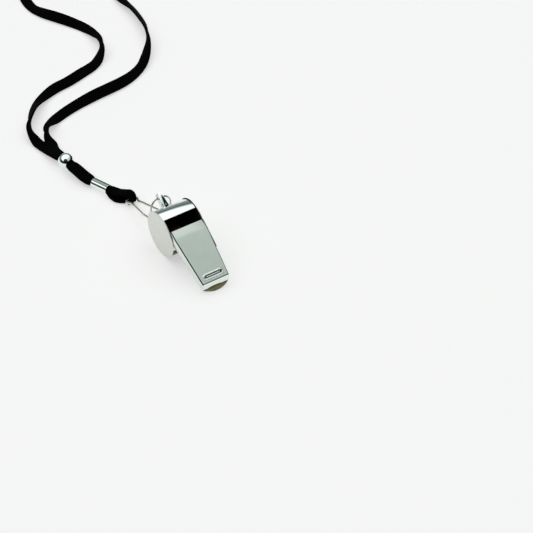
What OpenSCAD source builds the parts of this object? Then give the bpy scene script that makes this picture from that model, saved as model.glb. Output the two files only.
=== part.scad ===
// Pea whistle with a jump ring, a sprung wire hook and a flat braided neck lanyard.
// It lies on a flat surface: the drum stands on the rims of its side discs and the
// mouthpiece points down, so that its lower jaw touches the surface too.
// Millimetres. +X runs towards the mouth, +Y along the drum's axis, +Z up.
// The origin is on the surface, under the middle of the whistle and its ring.

/* [Drum] */
// Diameter of the two side discs
disc_d = 24; // [23:0.5:25]
// Width over the side discs
body_w = 19; // [18:0.5:20]
// Thickness of the side discs
disc_t = 0.45; // [0.4:0.05:0.6]
// Thickness of the pressed sheet of the drum and the mouthpiece
sheet_t = 0.5; // [0.4:0.05:0.6]
// How far the disc rims stand proud of the drum wall
rim_step = 0.35; // [0.25:0.05:0.5]
// Diameter of the cork pea
pea_d = 10.4; // [9:0.2:10.8]

/* [Mouthpiece] */
// Height of the top plate above the drum's axis
top_z = 12.6; // [12.4:0.1:13]
// Distance from the drum's axis to the crease of the front lip
crease_x = 34; // [32:0.5:36]
// Width over the side walls at the mouth
mouth_w = 14.4; // [13.5:0.3:15.9]
// How far the rounded lower jaw reaches beyond the front lip
jaw_out = 2.3; // [1.5:0.1:2.6]
// Length of the bite ridge across the top plate
ridge_l = 10.8; // [9:0.3:11.4]
// Length of the sound window along the mouthpiece
window_l = 6.95; // [6.5:0.05:7.5]

/* [Lug and ring] */
// Length of the folded lug behind the drum
lug_l = 7.8; // [7.2:0.1:8.4]
// Height of the lug's two cheeks
lug_h = 3.6; // [3.4:0.1:4]
// Outer diameter of the jump ring
ring_d = 12; // [11.8:0.1:12.4]
// Wire diameter of the jump ring
ring_wire = 0.9; // [0.8:0.05:1]

/* [Hook] */
// Wire diameter of the sprung hook
hook_wire = 1.3; // [1.2:0.05:1.4]
// Length of the hook from its lower bend to its top bar
hook_l = 27.35; // [27.05:0.05:27.65]
// Length of the top bar that carries the cord
bar_l = 7.2; // [6.9:0.1:7.5]

/* [Lanyard] */
// Width of the flat braid
braid_w = 6.4; // [6:0.1:6.8]
// Thickness of the flat braid
braid_t = 1.4; // [1.2:0.1:1.5]
// Diameter of the plain round cord that stands for the braid's run
cord_d = 2.3; // [2.1:0.1:2.4]
// Outer diameter of the crimp sleeve
crimp_d = 5.2; // [5:0.1:5.4]
// Length of the crimp sleeve
crimp_l = 9.8; // [9:0.2:10.4]
// Diameter of the slider bead
bead_d = 8.6; // [8.4:0.1:8.8]
// Radius of the stored coil at the middle of its turns
coil_r = 32; // [31.5:0.25:32.5]

/* [Hidden] */
eps = 0.01;
far = 60;

// Drum, in the whistle's own frame: the origin is on the drum's axis, x runs to the
// mouth along the top plate, and z is square to that plate.
disc_r = disc_d / 2;
wall_r = disc_r - rim_step;
chamber_r = wall_r - sheet_t;
inner_w = body_w - 2 * disc_t;
window_front = 4.2;
window_back = window_l - window_front;
pea_gap = 0.15;
pea_orbit_r = chamber_r - pea_d / 2 - pea_gap;

// Mouthpiece. The base plane rises slightly from the mouth to the drum.
lip_x = crease_x + 1.7;
lip_z = 9.7;
lip_a = atan2(top_z - lip_z, lip_x - crease_x);
lip_in = lip_x - sheet_t / sin(lip_a);
crease_in = lip_in - (top_z - sheet_t - lip_z) / tan(lip_a);
jaw_x = lip_x + jaw_out;
jaw_z = 8.24;
base_a = 2.2;
taper_x = 9;
jaw_half = mouth_w / 2 - sheet_t / 2;
jaw_r = (jaw_half * jaw_half + jaw_out * jaw_out) / (2 * jaw_out);
ramp_front_x = 31.5;
ramp_back_x = 5.6;
ramp_back_z = 10.4;

// Bite ridge: a raised oval rim with a small bar inside it
ridge_x = 30.9;
ridge_w = 2.8;
ridge_h = 0.35;
ridge_rim = 0.65;
ridge_bar = 0.6;

// The whistle tips nose down until the jaw touches the surface
pitch = atan2(jaw_z, jaw_x) + asin(disc_r / norm([jaw_x, jaw_z]));

// Lug: two cheeks and a web folded from one strip
lug_top = 1.3;
lug_low = lug_top - lug_h;
lug_end = -(wall_r + lug_l);
lug_base_w = 4;
lug_tip_w = 2.1;
hole_x = lug_end + 1.8;
hole_z = lug_top - 2.3;
hole_r = 0.95;

function rest_x(p) = p[0] * cos(pitch) + p[1] * sin(pitch);
function rest_z(p) = p[1] * cos(pitch) - p[0] * sin(pitch) + disc_r;

// The origin is under the middle of the whistle's length, from lug to jaw
jaw_top = jaw_z + sheet_t * cos(base_a);
origin_x = (rest_x([jaw_x, jaw_top]) + rest_x([lug_end, lug_low])) / 2;

// Ring: hangs from the lug in a vertical plane along the drum's axis
ring_r = (ring_d - ring_wire) / 2;
ring_y = 0.4;
pivot = [rest_x([hole_x, hole_z]), 0, rest_z([hole_x, hole_z])];
ring_foot = [pivot[0], ring_y, pivot[2] - 2 * ring_r];

// Hook: a wire figure in a sloping plane. Its lower bend passes through the ring and
// its top bar lies in the cord's end loop. u runs from the lower bend to the bar.
hook_wr = hook_wire / 2;
bend_u = 1.75;
bar_u = hook_l - bend_u;
hook_lift = (ring_wire + hook_wire) / 2 + 0.15;
loop_gap = 0.05;
bar_z = braid_t + hook_wr + loop_gap;
hook_a = asin((ring_foot[2] - bar_z) / norm([bar_u, hook_lift])) + atan2(hook_lift, bar_u);
hook_y = -2.9;
leg_low_y = 4.1;
neck_y = 1.9;
neck_u = bar_u - 4.4;
eye_bend = 1;
neck_bend = 3;
low_bend = 2.2;
gate_gap = 0.08;
wire_dip = 0.1;
bend_grow = 1.04;
gate_tip_u = 4.2;
gate_pivot = [-neck_u, -neck_y];

bar_pos = [ring_foot[0] - bar_u * cos(hook_a) - hook_lift * sin(hook_a), hook_y,
           ring_foot[2] - bar_u * sin(hook_a) + hook_lift * cos(hook_a)];

// Cord end loop, crimp and bead. The crimp lies askew, the bead nearly along X.
crimp_a = 22;
crimp_pos = [-57.6, -10.8, crimp_d / 2];
crimp_bore = crimp_d / 2 - 0.35;
bead_a = 8;
bead_pos = [-83, -17.2, bead_d / 2];
bead_bore = 2.5;
loop_w = 3.8;

// Route of the two strands: round numbers along the surface, from the crimp to the
// coil, counted from the drum's axis. The first points lie inside the crimp.
left_route = [[-60.3, -13.2, 2.6], [-63.6, -14.4, 2.8], [-68.6, -15.9, 3.4], [-74, -17, 4.3],
              [-82.8, -18.4, 4.3], [-89, -19.3, 4.3], [-96, -20, 3], [-102, -20, 1.7],
              [-108, -21, 1.2], [-114, -21, 1.2], [-119, -20, 1.2], [-126, -16, 1.2],
              [-134, -10, 1.2], [-141, -2, 1.2], [-145, 8, 1.2], [-147, 18, 1.2],
              [-150, 28, 1.2], [-153, 36, 1.2], [-157, 42, 1.2], [-164, 48, 1.2],
              [-176, 52, 1.2], [-188, 51, 1.2], [-198, 46, 1.2], [-206, 41, 1.2],
              [-215, 37, 1.2], [-225, 35, 1.2], [-236, 36, 1.2], [-249, 41, 1.3],
              [-262, 44, 1.5]];
right_route = [[-61.2, -11, 2.6], [-64.4, -12.2, 2.8], [-69, -13.5, 3.4], [-74, -14.6, 4.3],
               [-83.2, -16, 4.3], [-89.4, -16.9, 4.3], [-96, -17, 3], [-102, -16, 1.7],
               [-107, -15, 1.2], [-112, -13, 1.2], [-117, -10, 1.2], [-121, -4, 1.2],
               [-124, 5, 1.2], [-126, 14, 1.2], [-127, 24, 1.2], [-128, 34, 1.2],
               [-130, 43, 1.2], [-134, 52, 1.2], [-139, 60, 1.2], [-145, 66, 1.2],
               [-153, 72, 1.2], [-162, 77, 1.2], [-174, 81, 1.2], [-188, 83, 1.2],
               [-200, 83, 1.2], [-210, 84, 1.2], [-220, 88, 1.6], [-229, 95, 3.4],
               [-238, 102, 5.2], [-249, 107, 6.6]];
ring_step = 6;
cord_sides = 8;
coil_pos = [-262, 76, 0];
coil_turns = 2.5;
turn_rise = 2.3;
coil_w = braid_w + 0.8;
tie_t = 0.4;
tie_w = 6;
coil_h = braid_t + coil_turns * turn_rise;

// Catmull-Rom point on a route at span i, share t
function curve_at(p, i, t) =
    let (a = p[max(i - 1, 0)], b = p[i], c = p[i + 1], d = p[min(i + 2, len(p) - 1)])
    0.5 * (2 * b + (c - a) * t + (2 * a - 5 * b + 4 * c - d) * t * t
           + (3 * b - a - 3 * c + d) * t * t * t);
function route_rings(p) = [for (i = [0:len(p) - 2])
    let (n = max(1, round(norm(p[i + 1] - p[i]) / ring_step)))
    for (k = [0:n - 1]) curve_at(p, i, k / n)];
function with_end(p) = concat(route_rings(p), [p[len(p) - 1]]);
function flat_side(v) = [-v[1], v[0], 0] / norm([v[0], v[1]]);
function section(c, v) = let (s = flat_side(v), n = cross(v / norm(v), s))
    [for (k = [0:cord_sides - 1]) let (a = (k + 0.5) * 360 / cord_sides)
        c + cord_d / 2 * (cos(a) * s + sin(a) * n)];

// A round tube swept along a route as one closed surface
module tube(route) {
    c = with_end(route);
    last = len(c) - 1;
    points = [for (i = [0:last])
        each section(c[i], c[min(i + 1, last)] - c[max(i - 1, 0)])];
    sides = [for (i = [0:last - 1], k = [0:cord_sides - 1])
        let (a = i * cord_sides + k, b = i * cord_sides + (k + 1) % cord_sides)
        [a, b, b + cord_sides, a + cord_sides]];
    first_cap = [for (k = [cord_sides - 1:-1:0]) k];
    last_cap = [for (k = [0:cord_sides - 1]) last * cord_sides + k];
    polyhedron(points = points, faces = concat([first_cap], sides, [last_cap]));
}

// From the drum's axis to the part's own frame
module in_place() {
    translate([-origin_x, 0, 0]) children();
}

// From the whistle's own frame to its place on the surface
module whistle_place() {
    in_place() translate([0, 0, disc_r]) rotate([0, pitch, 0]) children();
}

// An outline in x and z, pushed along y
module side_profile(points, w) {
    rotate([90, 0, 0]) linear_extrude(height = w, center = true) polygon(points);
}

// Half width of the mouthpiece, measured to the outside of its walls
function half_w(x) = x < taper_x ? inner_w / 2
    : inner_w / 2 - (x - taper_x) * (inner_w - mouth_w) / 2 / (lip_x - taper_x);

module mouth_plan(inset, x_from, x_to) {
    stops = [x_from, taper_x, x_to];
    left = [for (x = stops) [x, -half_w(x) + inset]];
    right = [for (i = [2:-1:0]) [stops[i], half_w(stops[i]) - inset]];
    translate([0, 0, -far]) linear_extrude(height = 2 * far) polygon(concat(left, right));
}

module drum_cylinder(r, w) {
    rotate([90, 0, 0]) cylinder(r = r, h = w, center = true, $fn = 120);
}

module side_disc(side) {
    whistle_place() translate([0, side * (body_w - disc_t) / 2, 0])
        drum_cylinder(disc_r, disc_t);
}

module left_side_disc() {
    color([0.80, 0.82, 0.79]) side_disc(-1);
}

module right_side_disc() {
    color([0.80, 0.82, 0.79]) side_disc(1);
}

// The drum's wrapped wall, open across its whole width at the sound window
module drum_wall() {
    color([0.78, 0.80, 0.79]) whistle_place() difference() {
        drum_cylinder(wall_r, inner_w);
        drum_cylinder(chamber_r, body_w);
        translate([-window_back, -body_w / 2, 0]) cube([window_l, body_w, disc_d]);
    }
}

function base_z(x) = jaw_z + (x - jaw_x) * tan(base_a);

module oval(length, width, height) {
    linear_extrude(height = height) union() {
        square([width, length - width], center = true);
        for (s = [-1, 1]) translate([0, s * (length - width) / 2])
            circle(d = width, $fn = 48);
    }
}

// Folded channel: top plate, two side walls, front lip and bite ridge
module mouthpiece_shell() {
    outer = [[window_front, top_z], [crease_x, top_z], [lip_x, lip_z],
             [lip_x, base_z(lip_x)], [window_front, base_z(window_front)]];
    hollow = [[0, top_z - sheet_t], [crease_in, top_z - sheet_t], [lip_in, lip_z],
              [far, lip_z], [far, 0], [0, 0]];
    color([0.80, 0.83, 0.80]) whistle_place() difference() {
        union() {
            intersection() {
                side_profile(outer, far);
                mouth_plan(0, 0, lip_x);
            }
            translate([ridge_x, 0, top_z - eps]) difference() {
                oval(ridge_l, ridge_w, ridge_h + eps);
                translate([0, 0, eps]) oval(ridge_l - 2 * ridge_rim, ridge_w - 2 * ridge_rim, 1);
            }
            translate([ridge_x, 0, top_z - eps])
                oval(ridge_l - 4 * ridge_rim, ridge_bar, ridge_h + eps);
        }
        intersection() {
            side_profile(hollow, far);
            mouth_plan(sheet_t, 0, far);
        }
        drum_cylinder(wall_r, body_w);
    }
}

// Lower plate between the side walls, with the rounded jaw in front of the lip
module mouthpiece_base() {
    base = [[window_front, base_z(window_front)], [jaw_x + 1, base_z(jaw_x + 1)],
            [jaw_x + 1, base_z(jaw_x + 1) + sheet_t], [window_front, base_z(window_front) + sheet_t]];
    color([0.62, 0.58, 0.42]) whistle_place() difference() {
        intersection() {
            side_profile(base, far);
            union() {
                mouth_plan(sheet_t, 0, lip_x);
                intersection() {
                    translate([jaw_x - jaw_r, 0, 0]) cylinder(r = jaw_r, h = far, $fn = 120);
                    translate([lip_x, -far / 2, 0]) cube([far, far, far]);
                }
            }
        }
        drum_cylinder(wall_r, body_w);
    }
}

// Inner ramp that narrows the windway towards the sound window
module windway_floor() {
    front_z = base_z(ramp_front_x) + sheet_t;
    ramp = [[ramp_front_x, front_z], [ramp_back_x, ramp_back_z],
            [ramp_back_x, ramp_back_z - sheet_t], [ramp_front_x - 6, base_z(ramp_front_x - 6) + sheet_t]];
    color([0.62, 0.58, 0.42]) whistle_place() difference() {
        intersection() {
            side_profile(ramp, far);
            mouth_plan(sheet_t, 0, lip_x);
        }
        drum_cylinder(wall_r, body_w);
    }
}

module pea() {
    color([0.66, 0.50, 0.33]) in_place() translate([0, 0, disc_r - pea_orbit_r])
        sphere(d = pea_d, $fn = 64);
}

// Lug: a strip folded into a tapered channel, open below
module lanyard_lug() {
    tip = lug_tip_w / 2;
    base = lug_base_w / 2;
    outline = [[lug_end, -tip], [0, -base - 1], [0, base + 1], [lug_end, tip]];
    color([0.82, 0.84, 0.84]) whistle_place() difference() {
        translate([0, 0, lug_low]) linear_extrude(height = lug_h) polygon(outline);
        translate([0, 0, lug_low - 1]) linear_extrude(height = lug_h - sheet_t + 1)
            offset_outline(outline, sheet_t);
        translate([hole_x, 0, hole_z]) drum_cylinder(hole_r, far);
        drum_cylinder(wall_r, body_w);
    }
}

// The lug's outline moved in by t at its two cheeks, and run past its open end
module offset_outline(p, t) {
    polygon([[p[0][0] - 1, p[0][1] + t], [p[1][0], p[1][1] + t],
             [p[2][0], p[2][1] - t], [p[3][0] - 1, p[3][1] - t]]);
}

module jump_ring() {
    color([0.55, 0.56, 0.56]) in_place()
        translate([pivot[0], ring_y, pivot[2] - ring_r]) rotate([0, 90, 0])
            rotate_extrude($fn = 72) translate([ring_r, 0]) circle(d = ring_wire, $fn = 24);
}

function unit(v) = v / norm(v);
function turn_at(p, i) = let (a = unit(p[i] - p[i - 1]), b = unit(p[i + 1] - p[i]))
    atan2(a[0] * b[1] - a[1] * b[0], a * b);
function trim_at(p, bends, i) = i == 0 || i == len(p) - 1 ? 0
    : bends[i] * tan(abs(turn_at(p, i)) / 2) - wire_dip;

// Round wire in one plane: straight lengths through the points p, with a bend of
// radius bends[i] at each inner point. A bend is a hair thicker than the wire, and each
// straight runs a little way into its end faces.
module bent_wire(p, bends, r) {
    for (i = [0:len(p) - 2]) {
        v = unit(p[i + 1] - p[i]);
        a = p[i] + v * trim_at(p, bends, i);
        b = p[i + 1] - v * trim_at(p, bends, i + 1);
        translate([a[0], a[1], 0]) rotate([0, 90, atan2(v[1], v[0])])
            cylinder(r = r, h = norm(b - a), $fn = 32);
    }
    for (i = [1:len(p) - 2]) {
        v = unit(p[i] - p[i - 1]);
        turn = turn_at(p, i);
        start = p[i] - v * bends[i] * tan(abs(turn) / 2);
        centre = start + sign(turn) * bends[i] * [-v[1], v[0]];
        first = atan2(start[1] - centre[1], start[0] - centre[0]) + min(turn, 0);
        translate([centre[0], centre[1], 0]) rotate([0, 0, first])
            rotate_extrude(angle = abs(turn), $fn = 72)
                translate([bends[i], 0]) circle(r = r * bend_grow, $fn = 32);
    }
}

// From the hook's own plane, u along it and v across, to its place
module hook_place() {
    in_place() translate([ring_foot[0], hook_y, ring_foot[2]]) rotate([0, -hook_a, 0])
        translate([0, 0, hook_lift]) children();
}

// Bar, right leg and lower bend of the hook, and the stub that meets the gate
module hook_frame() {
    bar_corner = [-bar_u, -bar_l / 2];
    start = gate_pivot + (hook_wr + gate_gap) * unit(bar_corner - gate_pivot);
    points = [start, bar_corner, [-bar_u, bar_l / 2], [-neck_u, neck_y], [bend_u, leg_low_y],
              [bend_u, -leg_low_y], [-gate_tip_u + hook_wr + gate_gap, -leg_low_y]];
    bends = [0, eye_bend, eye_bend, neck_bend, low_bend, low_bend, 0];
    color([0.78, 0.78, 0.74]) hook_place() bent_wire(points, bends, hook_wr);
}

// Straight wire with round ends, as one turned solid
module round_ended_wire(length, r) {
    rotate_extrude($fn = 32) intersection() {
        translate([0, -r]) square([r, length + 2 * r]);
        union() {
            translate([-r, 0]) square([2 * r, length]);
            for (end = [0, length]) translate([0, end]) circle(r = r, $fn = 32);
        }
    }
}

// Sprung left leg of the hook, from the neck down to the stub
module hook_gate() {
    v = [-gate_tip_u, -leg_low_y] - gate_pivot;
    color([0.78, 0.78, 0.74]) hook_place() translate([gate_pivot[0], gate_pivot[1], 0])
        rotate([0, 90, atan2(v[1], v[0])]) round_ended_wire(norm(v), hook_wr);
}

// Flat braid turned round the hook's bar, with its two layers running to the crimp
module cord_end_loop() {
    half = loop_w / 2;
    mouth = crimp_pos + (crimp_l / 2) * [cos(crimp_a), sin(crimp_a), 0];
    across = (crimp_bore - 0.1) * [-sin(crimp_a), cos(crimp_a), 0];
    tail = [[bar_pos[0], hook_y - half], [bar_pos[0], hook_y + half],
            [mouth[0] + across[0], mouth[1] + across[1]],
            [mouth[0] - across[0], mouth[1] - across[1]]];
    color([0.05, 0.05, 0.05]) in_place() difference() {
        union() {
            linear_extrude(height = 2 * bar_z) polygon(tail);
            translate(bar_pos) drum_cylinder(bar_z, loop_w);
        }
        translate(bar_pos) drum_cylinder(hook_wr + loop_gap, far);
    }
}

module crimp_sleeve() {
    color([0.80, 0.82, 0.82]) in_place() translate(crimp_pos) rotate([0, 90, crimp_a])
        difference() {
            cylinder(d = crimp_d, h = crimp_l, center = true, $fn = 72);
            cylinder(r = crimp_bore, h = crimp_l + 1, center = true, $fn = 72);
        }
}

module slider_bead() {
    color([0.80, 0.82, 0.82]) in_place() translate(bead_pos) rotate([0, 90, bead_a])
        difference() {
            sphere(d = bead_d, $fn = 72);
            cylinder(r = bead_bore, h = bead_d + 1, center = true, $fn = 72);
        }
}

module cord_left_strand() {
    color([0.05, 0.05, 0.05]) in_place() tube(left_route);
}

module cord_right_strand() {
    color([0.05, 0.05, 0.05]) in_place() tube(right_route);
}

// Outer shape of the stored coil of braid
module cord_coil() {
    color([0.05, 0.05, 0.05]) in_place() translate(coil_pos) translate([0, 0, tie_t])
        rotate_extrude($fn = 96) translate([coil_r - coil_w / 2, 0]) square([coil_w, coil_h]);
}

// Band round the coil that keeps its turns together
module coil_tie() {
    color([0.12, 0.12, 0.12]) in_place() translate(coil_pos) translate([-coil_r, 0, 0])
        difference() {
            translate([-coil_w / 2 - tie_t, -tie_w / 2, 0])
                cube([coil_w + 2 * tie_t, tie_w, coil_h + 2 * tie_t]);
            translate([coil_r, 0, tie_t]) difference() {
                cylinder(r = coil_r + coil_w / 2, h = coil_h, $fn = 96);
                translate([0, 0, -1]) cylinder(r = coil_r - coil_w / 2, h = coil_h + 2, $fn = 96);
            }
        }
}

left_side_disc();
right_side_disc();
drum_wall();
mouthpiece_shell();
mouthpiece_base();
windway_floor();
pea();
lanyard_lug();
jump_ring();
hook_frame();
hook_gate();
cord_end_loop();
crimp_sleeve();
slider_bead();
cord_left_strand();
cord_right_strand();
cord_coil();
coil_tie();
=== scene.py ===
"""Looks of a pea whistle with its jump ring, wire hook and flat braided neck lanyard."""

import math

import bmesh
import bpy
from mathutils import Matrix, Vector, noise


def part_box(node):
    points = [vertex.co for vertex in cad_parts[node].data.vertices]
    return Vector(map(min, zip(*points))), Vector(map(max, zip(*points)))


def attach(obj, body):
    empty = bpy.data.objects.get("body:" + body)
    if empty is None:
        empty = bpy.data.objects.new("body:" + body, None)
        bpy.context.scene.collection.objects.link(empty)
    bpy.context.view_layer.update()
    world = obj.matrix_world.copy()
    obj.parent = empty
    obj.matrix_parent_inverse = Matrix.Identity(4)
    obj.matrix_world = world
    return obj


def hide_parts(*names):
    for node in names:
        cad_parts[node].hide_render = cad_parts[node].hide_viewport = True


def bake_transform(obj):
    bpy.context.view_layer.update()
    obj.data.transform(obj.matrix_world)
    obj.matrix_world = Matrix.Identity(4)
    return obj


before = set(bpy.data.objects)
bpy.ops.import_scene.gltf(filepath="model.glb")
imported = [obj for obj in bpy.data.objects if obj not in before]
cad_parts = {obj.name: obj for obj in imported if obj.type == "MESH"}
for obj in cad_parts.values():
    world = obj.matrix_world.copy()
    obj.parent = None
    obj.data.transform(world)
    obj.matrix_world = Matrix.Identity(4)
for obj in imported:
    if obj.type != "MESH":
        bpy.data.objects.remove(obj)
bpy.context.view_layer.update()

MM = 0.001
SCENE = bpy.context.scene

# ---------------------------------------------------------------- places and sizes
# Two frames in millimetres: the drum frame counts from the floor under the drum's axis,
# and the whistle frame is centred on that axis with x along the top plate.
disc_low, disc_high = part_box("left_side_disc")
DRUM = Vector(((disc_low.x + disc_high.x) / 2, 0, 0))
DISC_R = (disc_high.z - disc_low.z) / 2 / MM
DISC_T = (disc_high.y - disc_low.y) / MM
BODY_W = (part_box("right_side_disc")[1].y - disc_low.y) / MM
SHEET_T = 0.5
WALL_R = DISC_R - 0.35
INNER_W = BODY_W - 2 * DISC_T
TOP_Z = 12.6
CREASE_X = 34
LIP_X, LIP_Z = 35.7, 9.7
JAW_X, JAW_Z = 38, 8.24
BASE_SLOPE = math.tan(math.radians(2.2))
MOUTH_W = 14.4
TAPER_X = 9
FOOT_X, BASE_REAR_X = 9.21, 9.25
WINDOW_FRONT, WINDOW_REAR = 4.2, -2.75
PITCH = math.atan2(JAW_Z, JAW_X) + math.asin(DISC_R / math.hypot(JAW_X, JAW_Z))

DRUM_PLACE = Matrix.Translation(DRUM) @ Matrix.Diagonal((MM, MM, MM, 1))
WHISTLE_PLACE = DRUM_PLACE @ Matrix.Translation((0, 0, DISC_R)) @ Matrix.Rotation(PITCH, 4, "Y")
TO_WHISTLE = WHISTLE_PLACE.inverted()
PLATE_UP = (WHISTLE_PLACE.to_3x3() @ Vector((0, 0, 1))).normalized()


def half_w(x):
    """Half width of the mouthpiece over its side walls."""
    if x < TAPER_X:
        return INNER_W / 2
    return INNER_W / 2 - (x - TAPER_X) * (INNER_W - MOUTH_W) / 2 / (LIP_X - TAPER_X)


def base_z(x):
    return JAW_Z + (x - JAW_X) * BASE_SLOPE


# ---------------------------------------------------------------- camera
# Place from the drum's axis in metres, and the directions of view and of the picture's top
LENS = 100.19
EYE = Vector((0.469379, -0.264951, 0.490984))
LOOK = Vector((-0.60393, 0.40889, -0.68417))
PICTURE_UP = Vector((-0.57478, 0.37124, 0.72925))


def add_camera():
    """The camera sees the whistle's top and left side from above its mouth."""
    data = bpy.data.cameras.new("camera")
    data.lens = LENS
    data.sensor_width = 36
    data.clip_start = 0.01
    camera = bpy.data.objects.new("camera", data)
    SCENE.collection.objects.link(camera)
    forward = LOOK.normalized()
    right = forward.cross(PICTURE_UP).normalized()
    up = right.cross(forward)
    turn = Matrix((right, up, -forward)).transposed().to_4x4()
    camera.matrix_world = Matrix.Translation(DRUM + EYE) @ turn
    SCENE.camera = camera


# ---------------------------------------------------------------- material helpers
class Graph:
    """Short-hand for building one node tree."""

    def __init__(self, tree):
        self.tree = tree
        tree.nodes.clear()

    def node(self, kind, **values):
        made = self.tree.nodes.new(kind)
        for key, value in values.items():
            if key.startswith("in_"):
                made.inputs[key[3:].replace("_", " ")].default_value = value
            else:
                setattr(made, key, value)
        return made

    def link(self, source, output, target, socket):
        self.tree.links.new(source.outputs[output], target.inputs[socket])

    def product(self, a, a_out, b, b_out):
        """The product of two colours."""
        made = self.node("ShaderNodeMix", data_type="RGBA", blend_type="MULTIPLY")
        made.inputs["Factor"].default_value = 1
        self.link(a, a_out, made, 6)
        self.link(b, b_out, made, 7)
        return made

    def relief(self, texture, shader, strength, distance):
        """Small bumps on shader by the height of a noise texture."""
        made = self.node("ShaderNodeBump", in_Strength=strength, in_Distance=distance)
        self.link(texture, "Fac", made, "Height")
        self.link(made, "Normal", shader, "Normal")

    def ramp(self, stops):
        """A colour ramp with (place, colour) stops; a number stands for a grey."""
        made = self.tree.nodes.new("ShaderNodeValToRGB")
        ramp = made.color_ramp
        while len(ramp.elements) < len(stops):
            ramp.elements.new(0.5)
        for element, (place, colour) in zip(ramp.elements, stops):
            element.position = place
            grey = not hasattr(colour, "__len__")
            element.color = (colour, colour, colour, 1) if grey else (*colour, 1)
        return made


def new_material(name, base, roughness, metallic):
    """A material with its shader and object coordinates ready to be linked."""
    material = bpy.data.materials.new(name)
    material.use_nodes = True
    g = Graph(material.node_tree)
    out = g.node("ShaderNodeOutputMaterial")
    shader = g.node("ShaderNodeBsdfPrincipled")
    shader.inputs["Base Color"].default_value = (*base, 1)
    shader.inputs["Roughness"].default_value = roughness
    shader.inputs["Metallic"].default_value = metallic
    g.link(shader, "BSDF", out, "Surface")
    place = g.node("ShaderNodeTexCoord")
    return material, g, shader, place


def metal(name, base, roughness, spread, brush=(1, 1, 1), bump=0.02, tint=0.04, wear=0.25):
    """Plated metal: cloudy roughness, faint brushing, hairline scratches and worn edges."""
    material, g, shader, place = new_material(name, base, roughness, 1)
    cloud = g.node("ShaderNodeTexNoise", in_Scale=180, in_Detail=5, in_Roughness=0.6)
    g.link(place, "Object", cloud, "Vector")
    stretch = g.node("ShaderNodeMapping")
    stretch.inputs["Scale"].default_value = brush
    g.link(place, "Object", stretch, "Vector")
    grain = g.node("ShaderNodeTexNoise", in_Scale=4200, in_Detail=3, in_Roughness=0.7)
    g.link(stretch, "Vector", grain, "Vector")
    rough = g.node("ShaderNodeMapRange")
    rough.inputs["To Min"].default_value = roughness - spread
    rough.inputs["To Max"].default_value = roughness + spread
    g.link(cloud, "Fac", rough, "Value")
    scratches = g.node("ShaderNodeTexVoronoi", feature="DISTANCE_TO_EDGE", in_Scale=420)
    g.link(stretch, "Vector", scratches, "Vector")
    hairline = g.ramp([(0, 1), (0.012, 0)])
    g.link(scratches, "Distance", hairline, "Fac")
    scuffs = g.node("ShaderNodeMath", operation="MULTIPLY")
    scuffs.inputs[1].default_value = 0.06
    g.link(hairline, "Color", scuffs, 0)
    sum_rough = g.node("ShaderNodeMath", operation="ADD", use_clamp=True)
    g.link(rough, "Result", sum_rough, 0)
    g.link(scuffs, "Value", sum_rough, 1)
    edge = g.node("ShaderNodeNewGeometry")
    worn = g.ramp([(0.5, 0), (0.62, wear)])
    g.link(edge, "Pointiness", worn, "Fac")
    all_rough = g.node("ShaderNodeMath", operation="ADD", use_clamp=True)
    worn_rough = g.node("ShaderNodeMath", operation="MULTIPLY")
    worn_rough.inputs[1].default_value = 0.3
    g.link(worn, "Color", worn_rough, 0)
    g.link(sum_rough, "Value", all_rough, 0)
    g.link(worn_rough, "Value", all_rough, 1)
    g.link(all_rough, "Value", shader, "Roughness")
    darker = tuple(c * (1 - tint) for c in base)
    colour = g.ramp([(0.35, darker), (0.65, base)])
    g.link(cloud, "Fac", colour, "Fac")
    g.link(colour, "Color", shader, "Base Color")
    g.relief(grain, shader, bump, 0.00004)
    return material


def painted_shade_inside(name):
    """Near-black sheet, painted shade for the dark inside of the drum, with faint blotches."""
    material, g, shader, place = new_material(name, (0.012, 0.011, 0.009), 0.75, 0.2)
    stain = g.node("ShaderNodeTexNoise", in_Scale=260, in_Detail=6)
    g.link(place, "Object", stain, "Vector")
    colour = g.ramp([(0.3, (0.006, 0.006, 0.005)), (0.7, (0.02, 0.018, 0.013))])
    g.link(stain, "Fac", colour, "Fac")
    g.link(colour, "Color", shader, "Base Color")
    return material


def cork(name):
    """Cork: pale grains in a brown binder, with dark pits; its browns are darkened, partly for aged cork
    and partly as painted shade for the pea inside the drum.
    """
    material, g, shader, place = new_material(name, (0.42, 0.27, 0.14), 0.85, 0)
    grains = g.node("ShaderNodeTexVoronoi", in_Scale=1100)
    pits = g.node("ShaderNodeTexNoise", in_Scale=1700, in_Detail=4)
    for texture in (grains, pits):
        g.link(place, "Object", texture, "Vector")
    # Browns darkened, partly for aged cork and partly as painted shade inside the drum
    colour = g.ramp([(0.0, (0.15, 0.09, 0.05)), (0.55, (0.09, 0.05, 0.027)), (1.0, (0.04, 0.02, 0.01))])
    g.link(grains, "Distance", colour, "Fac")
    holes = g.ramp([(0.36, 0.25), (0.46, 1)])
    g.link(pits, "Fac", holes, "Fac")
    g.link(g.product(colour, "Color", holes, "Color"), 2, shader, "Base Color")
    g.relief(pits, shader, 0.7, 0.0002)
    return material


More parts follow.
